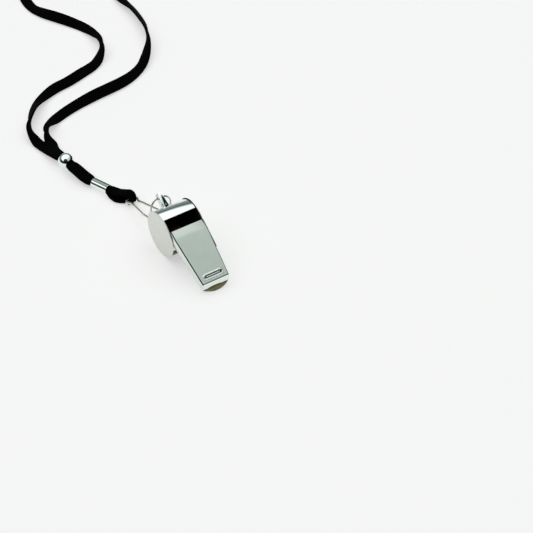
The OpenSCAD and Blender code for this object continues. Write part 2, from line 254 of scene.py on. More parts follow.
def braid_cloth(name):
    """Black flat braid: matt yarn with fine fibres along the plaits and a soft sheen."""
    material, g, shader, place = new_material(name, (0.002, 0.002, 0.002), 0.9, 0)
    shader.inputs["Specular IOR Level"].default_value = 0.02
    shader.inputs["Sheen Weight"].default_value = 0.004
    shader.inputs["Sheen Roughness"].default_value = 0.5
    lay = g.node("ShaderNodeMapping")
    lay.inputs["Scale"].default_value = (26, 3, 1)
    g.link(place, "UV", lay, "Vector")
    fibres = g.node("ShaderNodeTexNoise", in_Scale=9, in_Detail=4, in_Roughness=0.7)
    g.link(lay, "Vector", fibres, "Vector")
    blotch = g.node("ShaderNodeTexNoise", in_Scale=90, in_Detail=2)
    g.link(place, "Object", blotch, "Vector")
    colour = g.ramp([(0.3, (0.0008, 0.0008, 0.0009)), (0.72, (0.0034, 0.0034, 0.0036))])
    g.link(fibres, "Fac", colour, "Fac")
    faded = g.ramp([(0.3, 0.75), (0.7, 1)])
    g.link(blotch, "Fac", faded, "Fac")
    g.link(g.product(colour, "Color", faded, "Color"), 2, shader, "Base Color")
    g.relief(fibres, shader, 0.5, 0.00008)
    return material


def soft_band(name):
    """Matt black rubber of the band round the stored coil."""
    material, g, shader, place = new_material(name, (0.02, 0.02, 0.02), 0.6, 0)
    dust = g.node("ShaderNodeTexNoise", in_Scale=900, in_Detail=4)
    g.link(place, "Object", dust, "Vector")
    rough = g.ramp([(0.3, 0.5), (0.7, 0.75)])
    g.link(dust, "Fac", rough, "Fac")
    g.link(rough, "Color", shader, "Roughness")
    colour = g.ramp([(0.35, 0.012), (0.7, 0.03)])
    g.link(dust, "Fac", colour, "Fac")
    g.link(colour, "Color", shader, "Base Color")
    return material


# The top plate's grey, the teal band and the dark shaded plate are painted reflections put on chosen faces
# of the plating
SATIN = metal("satin_plate", (0.80, 0.845, 0.81), 0.12, 0.02, (6, 1, 6), 0.02)
DISC_SATIN = metal("disc_plate", (0.68, 0.70, 0.645), 0.28, 0.03, (1, 1, 1), 0.03)
TOP_REFLECTION_GREY = metal("top_plate_painted_reflection", (0.50, 0.555, 0.525), 0.14, 0.02, (6, 1, 6), 0.02)
TEAL_REFLECTION = metal("teal_reflection_band", (0.25, 0.33, 0.28), 0.12, 0.02, (1, 1, 1), 0.01)
SHADED = metal("shaded_plate", (0.025, 0.038, 0.03), 0.2, 0.02, (1, 1, 1), 0.01)
POLISH = metal("polished_plate", (0.84, 0.89, 0.87), 0.05, 0.015, (1, 8, 1), 0.004)
BRASS = metal("bare_brass", (0.30, 0.26, 0.13), 0.38, 0.08, (1, 1, 1), 0.10, 0.35)
WIRE = metal("spring_wire", (0.80, 0.79, 0.71), 0.12, 0.03, (1, 1, 1), 0.01)
RING_WIRE = metal("ring_wire", (0.52, 0.54, 0.54), 0.16, 0.04, (1, 1, 1), 0.03)
# Bright plate: real polish on bead and crimp, a painted highlight on the lip and the bite ridge
POLISH_AND_HIGHLIGHT = metal("polish_and_highlight_plate", (0.86, 0.91, 0.88), 0.05, 0.012, (1, 1, 1), 0.003)
# Near-black painted shade for the faces inside the drum
INSIDE_SHADE = painted_shade_inside("drum_inside_painted_shade")
CORK = cork("cork")
BRAID = braid_cloth("braid")
BAND = soft_band("tie_band")


# ---------------------------------------------------------------- mesh helpers
def mesh_piece(name, vertices, faces, place, materials, smooth_angle=35):
    """A mesh object with its vertices put in the shared frame."""
    mesh = bpy.data.meshes.new(name)
    mesh.from_pydata([place @ Vector(v) for v in vertices], [], faces)
    mesh.validate()
    made = bmesh.new()
    made.from_mesh(mesh)
    bmesh.ops.recalc_face_normals(made, faces=made.faces)
    made.to_mesh(mesh)
    made.free()
    return mesh_object(name, mesh, materials, smooth_angle)


def mesh_object(name, mesh, materials, smooth_angle=35):
    obj = bpy.data.objects.new(name, mesh)
    SCENE.collection.objects.link(obj)
    for material in materials:
        mesh.materials.append(material)
    smooth(mesh, smooth_angle)
    return obj


def smooth(mesh, angle):
    mesh.polygons.foreach_set("use_smooth", [True] * len(mesh.polygons))
    mesh.set_sharp_from_angle(angle=math.radians(angle))


def bake(obj, angle=None):
    """Applies the modifiers of obj to its mesh."""
    bpy.context.view_layer.update()
    graph = bpy.context.evaluated_depsgraph_get()
    mesh = bpy.data.meshes.new_from_object(obj.evaluated_get(graph))
    obj.modifiers.clear()
    obj.data = mesh
    if angle is not None:
        smooth(mesh, angle)


def round_edges(obj, width, segments=2, angle=40):
    """Rounds the sharp edges of obj and keeps its flat faces flat in the light."""
    bevel = obj.modifiers.new("bevel", "BEVEL")
    bevel.width = width * MM
    bevel.segments = segments
    bevel.limit_method = "ANGLE"
    bevel.angle_limit = math.radians(angle)
    bevel.use_clamp_overlap = True
    bevel.harden_normals = False
    weights = obj.modifiers.new("weights", "WEIGHTED_NORMAL")
    weights.keep_sharp = True
    bake(obj, 50)


def weld(mesh):
    """Joins the vertices that lie on each other."""
    bm = bmesh.new()
    bm.from_mesh(mesh)
    bmesh.ops.remove_doubles(bm, verts=bm.verts, dist=1e-7)
    bm.to_mesh(mesh)
    bm.free()


def paint(obj, index, chosen):
    """Gives material number index to the faces whose centre and normal pass the test."""
    for face in obj.data.polygons:
        if chosen(face.center, face.normal):
            face.material_index = index


def ring_faces(count, n, closed=False):
    """Quads between count rings of n points, and from the last to the first when closed."""
    faces = []
    for i in range(count if closed else count - 1):
        a, b = i * n, (i + 1) % count * n
        faces += [(a + k, a + (k + 1) % n, b + (k + 1) % n, b + k) for k in range(n)]
    return faces


def lathe(profile, segments, first=0.0, last=360.0):
    """Vertices and faces of (along, radius) points turned about the local X axis."""
    whole = last - first >= 360
    rows = segments if whole else segments + 1
    vertices = []
    for i in range(rows):
        angle = math.radians(first + (last - first) * i / segments)
        vertices += [(h, r * math.cos(angle), r * math.sin(angle)) for h, r in profile]
    n = len(profile)
    faces = ring_faces(rows, n, whole)
    if not whole:
        faces.append(tuple(range(n)))
        faces.append(tuple(range((rows - 1) * n, rows * n)))
    return vertices, faces


def arc(centre, radius, first, last, steps):
    """Points (along, radius) of an arc, angles in degrees from the first axis."""
    return [(centre[0] + radius * math.cos(math.radians(first + (last - first) * k / steps)),
             centre[1] + radius * math.sin(math.radians(first + (last - first) * k / steps)))
            for k in range(steps + 1)]


def tube(centres, frames, section):
    """Vertices and faces of section, (across, up) points for each ring, swept along centres."""
    vertices = []
    for i, (c, (across, up)) in enumerate(zip(centres, frames)):
        vertices += [c + across * a + up * b for a, b in section(i)]
    n = len(section(0))
    faces = ring_faces(len(centres), n)
    faces.append(tuple(range(n)))
    faces.append(tuple(range((len(centres) - 1) * n, len(centres) * n)))
    return vertices, faces


def tangents(points):
    last = len(points) - 1
    return [(points[min(i + 1, last)] - points[max(i - 1, 0)]).normalized() for i in range(last + 1)]


def carried_frames(points, across):
    """Frames along points that turn as little as possible, starting from across."""
    frames = []
    for t in tangents(points):
        across = (across - t * across.dot(t)).normalized()
        frames.append((across, t.cross(across)))
    return frames


def curve_through(points, step):
    """Points about step apart on a smooth curve through the given ones."""
    made = []
    for i in range(len(points) - 1):
        a, b = points[max(i - 1, 0)], points[i]
        c, d = points[i + 1], points[min(i + 2, len(points) - 1)]
        n = max(1, round((c - b).length / step))
        for k in range(n):
            t = k / n
            made.append((b * 2 + (c - a) * t + (a * 2 - b * 5 + c * 4 - d) * t * t
                         + (b * 3 - a - c * 3 + d) * t * t * t) / 2)
    return made + [points[-1]]


def rounded_path(points, radii, step=0.25):
    """A path of straights and round bends, one radius for each inner point."""
    made = [points[0]]
    for i in range(1, len(points) - 1):
        v = (points[i] - points[i - 1]).normalized()
        w = (points[i + 1] - points[i]).normalized()
        turn = v.angle(w)
        radius = radii[i - 1]
        trim = radius * math.tan(turn / 2)
        start = points[i] - v * trim
        toward = (w - v * w.dot(v)).normalized()
        centre = start + toward * radius
        n = max(3, round(radius * turn / step))
        made += [centre - toward * radius * math.cos(turn * k / n) + v * radius * math.sin(turn * k / n)
                 for k in range(n + 1)]
    return made + [points[-1]]


def evenly(points, step):
    """The same line cut into nearly equal lengths."""
    lengths = [0]
    for a, b in zip(points, points[1:]):
        lengths.append(lengths[-1] + (b - a).length)
    count = max(2, round(lengths[-1] / step))
    made, j = [], 0
    for i in range(count + 1):
        want = lengths[-1] * i / count
        while j < len(points) - 2 and lengths[j + 1] < want:
            j += 1
        span = lengths[j + 1] - lengths[j]
        share = 0 if span == 0 else (want - lengths[j]) / span
        made.append(points[j].lerp(points[j + 1], min(1, max(0, share))))
    return made


def wire(name, path, radius, place, material, round_start=True, round_end=True, sides=24):
    """Round wire along a path, with domed or flat ends."""
    points = evenly(path, 0.22)
    radii = [radius] * len(points)
    steps = 6
    for at_end, domed in ((False, round_start), (True, round_end)):
        if not domed:
            continue
        tip = points[-1] if at_end else points[0]
        inner = points[-2] if at_end else points[1]
        out = (tip - inner).normalized()
        cap = [(tip + out * radius * math.sin(math.pi / 2 * k / steps),
                max(0.04, radius * math.cos(math.pi / 2 * k / steps))) for k in range(1, steps + 1)]
        if at_end:
            points += [p for p, _ in cap]
            radii += [r for _, r in cap]
        else:
            points = [p for p, _ in reversed(cap)] + points
            radii = [r for _, r in reversed(cap)] + radii
    ring = [(math.cos(2 * math.pi * k / sides), math.sin(2 * math.pi * k / sides)) for k in range(sides)]
    frames = carried_frames(points, Vector((0.1, 0.2, 1)))
    vertices, faces = tube(points, frames, lambda i: [(a * radii[i], b * radii[i]) for a, b in ring])
    return mesh_piece(name, vertices, faces, place, [material], 60)


# ---------------------------------------------------------------- the lanyard's cord
# Routes of the two strands from the crimp to the stored coil, in metres in the drum frame
LEFT_ROUTE = [(-0.0603, -0.0132, 0.0026), (-0.0636, -0.0144, 0.0028), (-0.0686, -0.0159, 0.0034),
              (-0.074, -0.017, 0.0043), (-0.0828, -0.0184, 0.0043), (-0.089, -0.0193, 0.0043),
              (-0.096, -0.02, 0.003), (-0.102, -0.02, 0.0017), (-0.108, -0.021, 0.0012),
              (-0.114, -0.021, 0.0012), (-0.119, -0.02, 0.0012), (-0.126, -0.016, 0.0012),
              (-0.134, -0.01, 0.0012), (-0.141, -0.002, 0.0012), (-0.145, 0.008, 0.0012),
              (-0.147, 0.018, 0.0012), (-0.15, 0.028, 0.0012), (-0.153, 0.036, 0.0012),
              (-0.157, 0.042, 0.0012), (-0.164, 0.048, 0.0012), (-0.176, 0.052, 0.0012),
              (-0.188, 0.051, 0.0012), (-0.198, 0.046, 0.0012), (-0.206, 0.041, 0.0012),
              (-0.215, 0.037, 0.0012), (-0.225, 0.035, 0.0012), (-0.236, 0.036, 0.0012),
              (-0.249, 0.041, 0.0013), (-0.262, 0.044, 0.0015)]
RIGHT_ROUTE = [(-0.0612, -0.011, 0.0026), (-0.0644, -0.0122, 0.0028), (-0.069, -0.0135, 0.0034),
               (-0.074, -0.0146, 0.0043), (-0.0832, -0.016, 0.0043), (-0.0894, -0.0169, 0.0043),
               (-0.096, -0.017, 0.003), (-0.102, -0.016, 0.0017), (-0.107, -0.015, 0.0012),
               (-0.112, -0.013, 0.0012), (-0.117, -0.01, 0.0012), (-0.121, -0.004, 0.0012),
               (-0.124, 0.005, 0.0012), (-0.126, 0.014, 0.0012), (-0.127, 0.024, 0.0012),
               (-0.128, 0.034, 0.0012), (-0.13, 0.043, 0.0012), (-0.134, 0.052, 0.0012),
               (-0.139, 0.06, 0.0012), (-0.145, 0.066, 0.0012), (-0.153, 0.072, 0.0012),
               (-0.162, 0.077, 0.0012), (-0.174, 0.081, 0.0012), (-0.188, 0.083, 0.0012),
               (-0.2, 0.083, 0.0012), (-0.21, 0.084, 0.0012), (-0.22, 0.088, 0.0016),
               (-0.229, 0.095, 0.0034), (-0.238, 0.102, 0.0052), (-0.249, 0.107, 0.0066)]
BRAID_W, BRAID_T = 6.4, 1.4
COIL_CENTRE, COIL_R = Vector((-262, 76, 0)), 32
COIL_TURNS, TURN_RISE, TIE_T = 2.5, 2.3, 0.4
TUBE_Z = 1.2
FLOOR_GAP = 0.15
# Half the step between the stacked strands, and how far the upper one still rides up as they part
LAYER_STEP, PART_LIFT = 0.66, 0.6
# Points, counted from the crimp, over which the strands lie one on the other
STACKED = 6
# How far each strand has turned over, as (route point, degrees): half a turn at its first
# bend and back again at its second
LEFT_ROLL = [(0, 0), (7, -5), (8, 5), (9, 35), (10, 65), (11, 115), (12, 140), (13, 170), (14, 200),
             (16, 200), (17, 190), (18, 170), (19, 120), (20, 25), (21, -10), (23, -45), (24, -25), (25, 0)]
RIGHT_ROLL = [(0, 0), (7, 5), (8, 40), (9, 95), (10, 155), (11, 185), (13, 200), (14, 220), (15, 225),
              (16, 210), (17, 190), (18, 170), (19, 155), (20, 125), (21, 85), (22, 50), (23, 40), (24, 20),
              (25, 5), (26, 0)]
# Width and thickness of a strand by route point, narrow where the sleeve and bead hold it
HELD_WIDTH = [(0, 3.7), (0.5, 4.0), (0.9, 6.0), (1.6, 6.4), (3.4, 6.2), (3.62, 4.5), (4.55, 4.5),
              (4.85, 6.2), (6, 6.4)]
HELD_THICK = [(0, 1.1), (1, 1.15), (2, 1.3), (3.6, 1.15), (4.6, 1.15), (6, 1.4)]


def at(table, place):
    """Value at a place in a table of (place, value)."""
    for (a, low), (b, high) in zip(table, table[1:]):
        if place <= b:
            return low + (high - low) * max(0, (place - a) / (b - a))
    return table[-1][1]


def strand(route, other, roll_table, layer):
    """Centre, roll, width and thickness along one strand, from the crimp outwards."""
    points = []
    for i, p in enumerate(route):
        own = Vector(p) / MM
        shared = (own + Vector(other[i]) / MM) / 2 if i < len(other) else own
        free = min(1, max(0, (i - STACKED + 1) / 2))
        middle = shared.lerp(own, free)
        lifted = max(0, middle.z - TUBE_Z)
        roll = math.radians(at(roll_table, i))
        half_h = (BRAID_W * abs(math.sin(roll)) + BRAID_T * abs(math.cos(roll))) / 2 + FLOOR_GAP
        on_floor = half_h + lifted
        middle.z = middle.z + (on_floor - middle.z) * free + layer * LAYER_STEP * (1 - free)
        if layer > 0 and i == STACKED + 1:
            middle.z += PART_LIFT
        points.append(middle)
    line = curve_through(points, 0.5)
    rows = []
    place = 0
    for p in line:
        near = min(range(int(place), min(int(place) + 2, len(points) - 1)),
                   key=lambda j: (p - points[j].lerp(points[j + 1], 0.5)).length)
        span = points[near + 1] - points[near]
        share = min(1, max(0, (p - points[near]).dot(span) / span.length_squared))
        place = max(place, near + share)
        rows.append((p, math.radians(at(roll_table, place)), at(HELD_WIDTH, place), at(HELD_THICK, place)))
    return rows


def coil_rows():
    """The stored turns: they lie flat on each other, clockwise from the south side up."""
    per_turn, wander = 300, 0.35
    count = round(COIL_TURNS * per_turn)
    rows = []
    for k in range(1, count):
        turn = k / per_turn
        angle = math.radians(-90) - 2 * math.pi * turn
        radius = COIL_R + wander * math.sin(2.3 * turn * math.pi + 0.6)
        z = TIE_T + BRAID_T / 2 + turn * TURN_RISE
        p = COIL_CENTRE + Vector((radius * math.cos(angle), radius * math.sin(angle), z))
        rows.append((p, 0, BRAID_W, BRAID_T))
    return rows


def smoothed(rows, passes):
    """Rows with their centres, rolls and sizes evened out along the cord."""
    for _ in range(passes):
        inner = []
        for a, b, c in zip(rows, rows[1:], rows[2:]):
            inner.append(tuple((x + y * 2 + z) / 4 for x, y, z in zip(a, b, c)))
        rows = [rows[0]] + inner + [rows[-1]]
    return rows


def braid_section(width, thick, along, sides=36):
    """Flat oval section with the chevron relief of the plaits, as (across, up) points."""
    squareness, plait_l, slant, ribs = 0.55, 1.15, 1.6, 4.5
    plait_h, rib_h, sunk = 0.055, 0.025, 0.05
    points = []
    for k in range(sides):
        a = 2 * math.pi * k / sides
        across = math.copysign(abs(math.cos(a)) ** squareness, math.cos(a))
        up = math.copysign(abs(math.sin(a)) ** squareness, math.sin(a))
        face = 1 if up > 0 else -1
        plait = math.sin(math.pi * (along / plait_l + face * abs(across) * slant))
        rib = math.cos(math.pi * across * ribs)
        relief = plait_h * abs(plait) ** 0.6 + rib_h * rib * rib - sunk
        half_t = thick / 2 + relief
        half_b = width / 2 + 0.5 * relief
        points.append((across * half_b, up * half_t))
    return points


def ribbon_mesh(name, rows, side=None):
    """Braid along rows of (centre, roll, width, thickness), in the drum frame."""
    centres = [r[0] for r in rows]
    frames = []
    for (_, roll, _, _), t in zip(rows, tangents(centres)):
        level = Vector((-t.y, t.x, 0)) if side is None else side - t * side.dot(t)
        level.normalize()
        up = t.cross(level)
        across = level * math.cos(roll) + up * math.sin(roll)
        frames.append((across, t.cross(across)))
    run = [0]
    for a, b in zip(centres, centres[1:]):
        run.append(run[-1] + (b - a).length)
    vertices, faces = tube(centres, frames, lambda i: braid_section(rows[i][2], rows[i][3], run[i]))
    obj = mesh_piece(name, vertices, faces, DRUM_PLACE, [BRAID], 70)
    sides = len(vertices) // len(centres)
    layer = obj.data.uv_layers.new(name="along")
    for loop in obj.data.loops:
        ring, k = divmod(loop.vertex_index, sides)
        layer.data[loop.index].uv = (k / sides, run[ring] / 10)
    return obj, centres


def add_cord():
    """One closed loop of flat braid: out of the crimp, through the bead, and back."""
    left = strand(LEFT_ROUTE, RIGHT_ROUTE, LEFT_ROLL, -1)
    right = strand(RIGHT_ROUTE, LEFT_ROUTE, RIGHT_ROLL, 1)
    rows = [(p, roll, w, t) for p, roll, w, t in left] + coil_rows()
    rows += [(p, -roll, w, t) for p, roll, w, t in reversed(right)]
    obj, centres = ribbon_mesh("lanyard_cord", smoothed(rows, 6))
    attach(obj, "lanyard")
    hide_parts("cord_left_strand", "cord_right_strand", "cord_coil")
    path = [DRUM_PLACE @ p for p in centres[::4]] + [DRUM_PLACE @ centres[-1]]
    length = sum((b - a).length for a, b in zip(path, path[1:]))
    print(f"cord path {length:.4f} m")
    return obj, path


def add_tie():
    """Soft band round the coil, a closed strap with rounded corners."""
    low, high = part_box("coil_tie")
    centre = (low + high) / 2 / MM - DRUM / MM
    half_x, half_z = (high.x - low.x) / 2 / MM, (high.z - low.z) / 2 / MM
    half_w_tie = (high.y - low.y) / 2 / MM
    outline = []
    corner = 0.9
    for sx, sz, first in ((1, 1, 0), (-1, 1, 90), (-1, -1, 180), (1, -1, 270)):
        outline += arc((sx * (half_x - corner), sz * (half_z - corner)), corner, first, first + 90, 6)
    vertices = []
    profile = [(-1, 0), (-0.9, 0.03), (0.9, 0.03), (1, 0), (1, 0.38), (-1, 0.38)]
    for x, z in outline:
        out = Vector((x / half_x, 0, z / half_z)).normalized()
        for w, depth in profile:
            vertices.append(centre + Vector((x, w * half_w_tie, z)) - out * depth)
    faces = ring_faces(len(outline), len(profile), True)
    obj = mesh_piece("coil_band", vertices, faces, DRUM_PLACE, [BAND], 40)
    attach(obj, "lanyard")
    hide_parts("coil_tie")
    return obj


# ---------------------------------------------------------------- crimp, bead and end loop
CRIMP_A, CRIMP_POS, CRIMP_L, CRIMP_R, CRIMP_BORE = 22, Vector((-57.6, -10.8, 2.6)), 9.8, 2.6, 2.25
BEAD_A, BEAD_POS, BEAD_R, BEAD_BORE = 8, Vector((-83, -17.2, 4.3)), 4.3, 2.5
BAR_POS, HOOK_WR = Vector((-40.4633, -2.9, 2.1)), 0.65


def turned_place(position, angle):
    """Local X along the level direction at that angle, at that position."""
    turn = Matrix.Rotation(math.radians(angle), 4, "Z")
    return DRUM_PLACE @ Matrix.Translation(position) @ turn


def add_crimp():
    """A strip of bright sheet rolled into a sleeve, its two edges meeting in a seam, with a painted teal
    reflection beside the seam and a painted dark reflection strip next to it.
    """
    half = CRIMP_L / 2
    lip = 0.16
    profile = [(-half + lip, CRIMP_BORE)]
    profile += arc((-half + lip, CRIMP_R - lip), lip, 180, 90, 5)
    profile += [(-half * 0.82, CRIMP_R - 0.03), (half * 0.82, CRIMP_R - 0.03)]
    profile += arc((half - lip, CRIMP_R - lip), lip, 90, 0, 5)
    profile += [(half - lip, CRIMP_BORE)]
    seam, gap = 116, 3.2
    # Painted reflections by angle: a dark strip from the first angle to the second, then a teal band up to
    # the seam
    shade_from, reflection_from = 38, 58
    vertices, faces = lathe(profile, 96, seam + gap, seam + 360 - gap)
    obj = mesh_piece("crimp", vertices, faces, turned_place(CRIMP_POS, CRIMP_A),
                     [POLISH_AND_HIGHLIGHT, TEAL_REFLECTION, SHADED], 40)
    to_crimp = turned_place(CRIMP_POS, CRIMP_A).inverted()

    def around(centre, low, high):
        place = to_crimp @ centre
        return low < math.degrees(math.atan2(place.z, place.y)) < high and abs(place.x) < half - lip
    # Painted teal reflection band, then the painted dark reflection strip below it
    paint(obj, 1, lambda centre, normal: around(centre, reflection_from, seam))
    paint(obj, 2, lambda centre, normal: around(centre, shade_from, reflection_from))
    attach(obj, "lanyard")
    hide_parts("crimp_sleeve")
    return obj


def add_bead():
    """Polished ball with a wide bore whose rims are rounded over."""
    rim = 0.22
    edge = math.degrees(math.asin((BEAD_BORE + rim * 0.6) / BEAD_R))
    profile = arc((0, 0), BEAD_R, 180 - edge, edge, 48)
    end = profile[-1][0]
    profile += [(end - 0.02, BEAD_BORE + 0.05), (end - 0.16, BEAD_BORE)]
    profile += [(-end + 0.16, BEAD_BORE), (-end + 0.02, BEAD_BORE + 0.05)]
    vertices, faces = lathe(profile, 96)
    obj = mesh_piece("bead", vertices, faces, turned_place(BEAD_POS, BEAD_A), [POLISH_AND_HIGHLIGHT], 50)
    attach(obj, "bead")
    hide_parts("slider_bead")
    return obj


def add_end_loop():
    """The braid's slack bight round the hook's bar, with both layers led into the crimp."""
    along = Vector((math.cos(math.radians(CRIMP_A)), math.sin(math.radians(CRIMP_A)), 0))
    inside = CRIMP_POS + along * (CRIMP_L / 2 - 2.5)
    mouth = CRIMP_POS + along * (CRIMP_L / 2 + 0.6)

    def between(share, y, z):
        p = mouth.lerp(BAR_POS, share)
        return Vector((p.x, p.y + y, z))

    def by_bar(x, y, z):
        return BAR_POS + Vector((x, y, z))
    # The upper layer stands up in a bulge behind the bar, the lower one lies on the floor
    stations = [(inside + Vector((0, 0, 0.6)), 3.8), (mouth + Vector((0, 0, 0.75)), 5.0),
                (between(0.35, 0.0, 3.3), 6.0), (between(0.74, 0.4, 5.0), 6.2),
                (by_bar(-1.1, 0.3, 2.7), 5.7), (by_bar(0.9, 0.1, 1.6), 5.1), (by_bar(1.5, 0, 0.1), 4.9),
                (by_bar(0.7, 0, -1.25), 5.0), (by_bar(-1.4, -0.3, -1.3), 5.6),
                (between(0.6, -1.2, 0.8), 7.0), (between(0.3, -0.9, 1.0), 6.4),
                (mouth + Vector((0, 0, -0.75)), 5.0), (inside + Vector((0, 0, -0.6)), 3.8)]
    line = curve_through([p for p, _ in stations], 0.3)
    table = list(enumerate(w for _, w in stations))
    rows = [(p, 0, at(table, i / (len(line) - 1) * (len(stations) - 1)), 1.16) for i, p in enumerate(line)]
    side = Vector((-math.sin(math.radians(12)), math.cos(math.radians(12)), 0))
    obj, _ = ribbon_mesh("end_loop", smoothed(rows, 4), side)
    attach(obj, "lanyard")
    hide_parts("cord_end_loop")
    return obj


# ---------------------------------------------------------------- hook and ring
HOOK_L, BEND_U, BAR_L = 27.35, 1.75, 7.2
BAR_U = HOOK_L - BEND_U
HOOK_LIFT = 1.25
LEG_Y, NECK_Y = 4.1, 1.9
NECK_U = BAR_U - 4.4
GATE_TIP_U = 4.2
GATE_GAP = 0.08
PIVOT = Vector((-15.756, 0, 20.017))
RING_R, RING_WR, RING_Y = 5.55, 0.45, 0.4
RING_FOOT = Vector((PIVOT.x, RING_Y, PIVOT.z - 2 * RING_R))
HOOK_Y = BAR_POS.y
HOOK_A = math.asin((RING_FOOT.z - BAR_POS.z) / math.hypot(BAR_U, HOOK_LIFT)) + math.atan2(HOOK_LIFT, BAR_U)


def hook_place():
    turn = Matrix.Rotation(-HOOK_A, 4, "Y")
    foot = Matrix.Translation((RING_FOOT.x, HOOK_Y, RING_FOOT.z))
    return DRUM_PLACE @ foot @ turn @ Matrix.Translation((0, 0, HOOK_LIFT))


def add_hook():
    """One bent wire: stub, lower bend, right leg, neck and bar, and the sprung left leg."""
    place = hook_place()
    pivot = Vector((-NECK_U, -NECK_Y, 0))
    corner = Vector((-BAR_U, -BAR_L / 2, 0))
    seam = pivot + (corner - pivot).normalized() * 1.6
    body = [seam, corner, Vector((-BAR_U, BAR_L / 2, 0)), Vector((-NECK_U, NECK_Y, 0)),
            Vector((BEND_U, LEG_Y, 0)), Vector((BEND_U, -LEG_Y, 0)),
            Vector((-GATE_TIP_U + HOOK_WR + GATE_GAP, -LEG_Y, 0))]
    path = rounded_path(body, [0.95, 0.95, 3, 2.2, 2.2])
    frame_wire = wire("hook_wire", path, HOOK_WR, place, WIRE, round_start=False)
    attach(frame_wire, "hook")
    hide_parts("hook_frame")
    leg = rounded_path([seam, pivot, Vector((-GATE_TIP_U, -LEG_Y, 0))], [2.4])
    gate = wire("hook_spring_leg", leg, HOOK_WR, place, WIRE, round_start=False)
    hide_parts("hook_gate")
    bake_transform(gate)
    return frame_wire, gate


def add_ring():
    """Jump ring of round wire, its two cut ends nearly meeting."""
    gap = 1.2
    opening = 205
    place = DRUM_PLACE @ Matrix.Translation((PIVOT.x, RING_Y, PIVOT.z - RING_R))
    path = []
    for k in range(241):
        a = math.radians(opening + gap + (360 - 2 * gap) * k / 240)
        path.append(Vector((0, RING_R * math.cos(a), RING_R * math.sin(a))))
    ring = wire("jump_ring_wire", path, RING_WR, place, RING_WIRE, False, False)
    round_edges(ring, 0.05, 2, 60)
    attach(ring, "ring")
    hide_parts("jump_ring")


# ---------------------------------------------------------------- whistle
def lean(normal):
    """Degrees between a face's normal and that of the top plate."""
    return math.degrees(math.acos(max(-1, min(1, normal.dot(PLATE_UP)))))


def whistle_piece(obj, slot_name, *nodes):
    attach(obj, "whistle")
    if nodes:
        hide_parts(*nodes)
    return obj


def add_side_discs():
    """Pressed side discs with a slight crown and a rounded rim."""
    rim = 0.2
    crown = 0.04
    for name, side in (("left", -1), ("right", 1)):
        profile = [(0, 0), (0, DISC_R - 0.06), (0.06, DISC_R)]
        profile += arc((DISC_T - rim - crown, DISC_R - rim), rim, 90, 8, 6)
        profile += [(DISC_T - crown * (r / 11.7) ** 2, r) for r in (11.7, 10, 8, 6, 4, 2, 0)]
        vertices, faces = lathe(profile, 180)
        turn = Matrix.Rotation(math.radians(90 * side), 4, "Z")
        place = WHISTLE_PLACE @ Matrix.Translation((0, side * INNER_W / 2, 0)) @ turn
        obj = mesh_piece(name + "_disc", vertices, faces, place, [DISC_SATIN, INSIDE_SHADE], 30)
        weld(obj.data)
        smooth(obj.data, 30)
        # Inner faces get the near-black painted shade of the drum's inside
        paint(obj, 1, lambda centre, normal: normal.y * side < -0.5)
        whistle_piece(obj, "plated_sheet", name + "_side_disc")


def add_drum_wall():
    """Polished strip rolled round the drum, open across its width at the sound window. Its inner faces
    carry painted shade and its underside by the mouthpiece a painted dark reflection.
    """
    inner_r = WALL_R - SHEET_T
    first = math.degrees(math.asin(WINDOW_FRONT / WALL_R))
    last = 360 + math.degrees(math.asin(WINDOW_REAR / WALL_R))
    steps = 220
    outer, inner = [], []
    for k in range(steps + 1):
        a = math.radians(first + (last - first) * k / steps)
        outer.append((WALL_R * math.sin(a), WALL_R * math.cos(a)))
        inner.append((inner_r * math.sin(a), inner_r * math.cos(a)))
    outline = outer + inner[::-1]
    vertices, faces = [], []
    for x, z in outline:
        vertices += [(x, y, z) for y in (-INNER_W / 2, INNER_W / 2)]
    n = len(outline)
    for i in range(n):
        a, b = 2 * i, 2 * ((i + 1) % n)
        faces.append((a, a + 1, b + 1, b))
    for k in range(steps):
        for y in (0, 1):
            faces.append((2 * k + y, 2 * (k + 1) + y, 2 * (n - 2 - k) + y, 2 * (n - 1 - k) + y))
    obj = mesh_piece("drum_strip", vertices, faces, WHISTLE_PLACE, [POLISH, INSIDE_SHADE, SHADED], 30)
    round_edges(obj, 0.09, 2, 60)
    axis = WHISTLE_PLACE.translation

    def outwards(centre):
        return Vector((centre.x - axis.x, 0, centre.z - axis.z))

    def shaded_inner_faces(centre, normal):
        out = outwards(centre)
        return normal.dot(out) < 0 and abs(normal.y) < 0.5 and out.length < (WALL_R - 0.3) * MM
    # Inner faces get the near-black painted shade of the drum's inside
    paint(obj, 1, shaded_inner_faces)

    def painted_shade_corner(centre, normal):
        out = outwards(centre)
        return out.x > 0 and out.z < -2 * MM and out.length > (WALL_R - 0.05) * MM
    # The underside by the mouthpiece gets a painted dark reflection in the shaded plate
    paint(obj, 2, painted_shade_corner)
    whistle_piece(obj, "plated_strip", "drum_wall")


def sheet_from(name, corners, faces, folds, fold_r, place, materials, thickness=SHEET_T):
    """Folded sheet: faces between named corners, rounded folds, then its thickness inwards."""
    bm = bmesh.new()
    made = {key: bm.verts.new(place @ Vector(p)) for key, p in corners.items()}
    for face in faces:
        bm.faces.new([made[key] for key in face])
    bm.verts.ensure_lookup_table()
    bent = [bm.edges.get((made[a], made[b])) for a, b in folds]
    bmesh.ops.bevel(bm, geom=bent, offset=fold_r * MM, offset_type="OFFSET", segments=6, profile=0.5,
                    affect="EDGES", clamp_overlap=True)
    bmesh.ops.recalc_face_normals(bm, faces=bm.faces)
    mesh = bpy.data.meshes.new(name)
    bm.to_mesh(mesh)
    bm.free()
    obj = mesh_object(name, mesh, materials)
    solid = obj.modifiers.new("thickness", "SOLIDIFY")
    solid.thickness = thickness * MM
    solid.offset = -1
    solid.use_even_offset = True
    solid.use_rim = True
    if len(materials) > 1:
        solid.material_offset = 1
        solid.material_offset_rim = 0
    bake(obj, 35)
    return obj


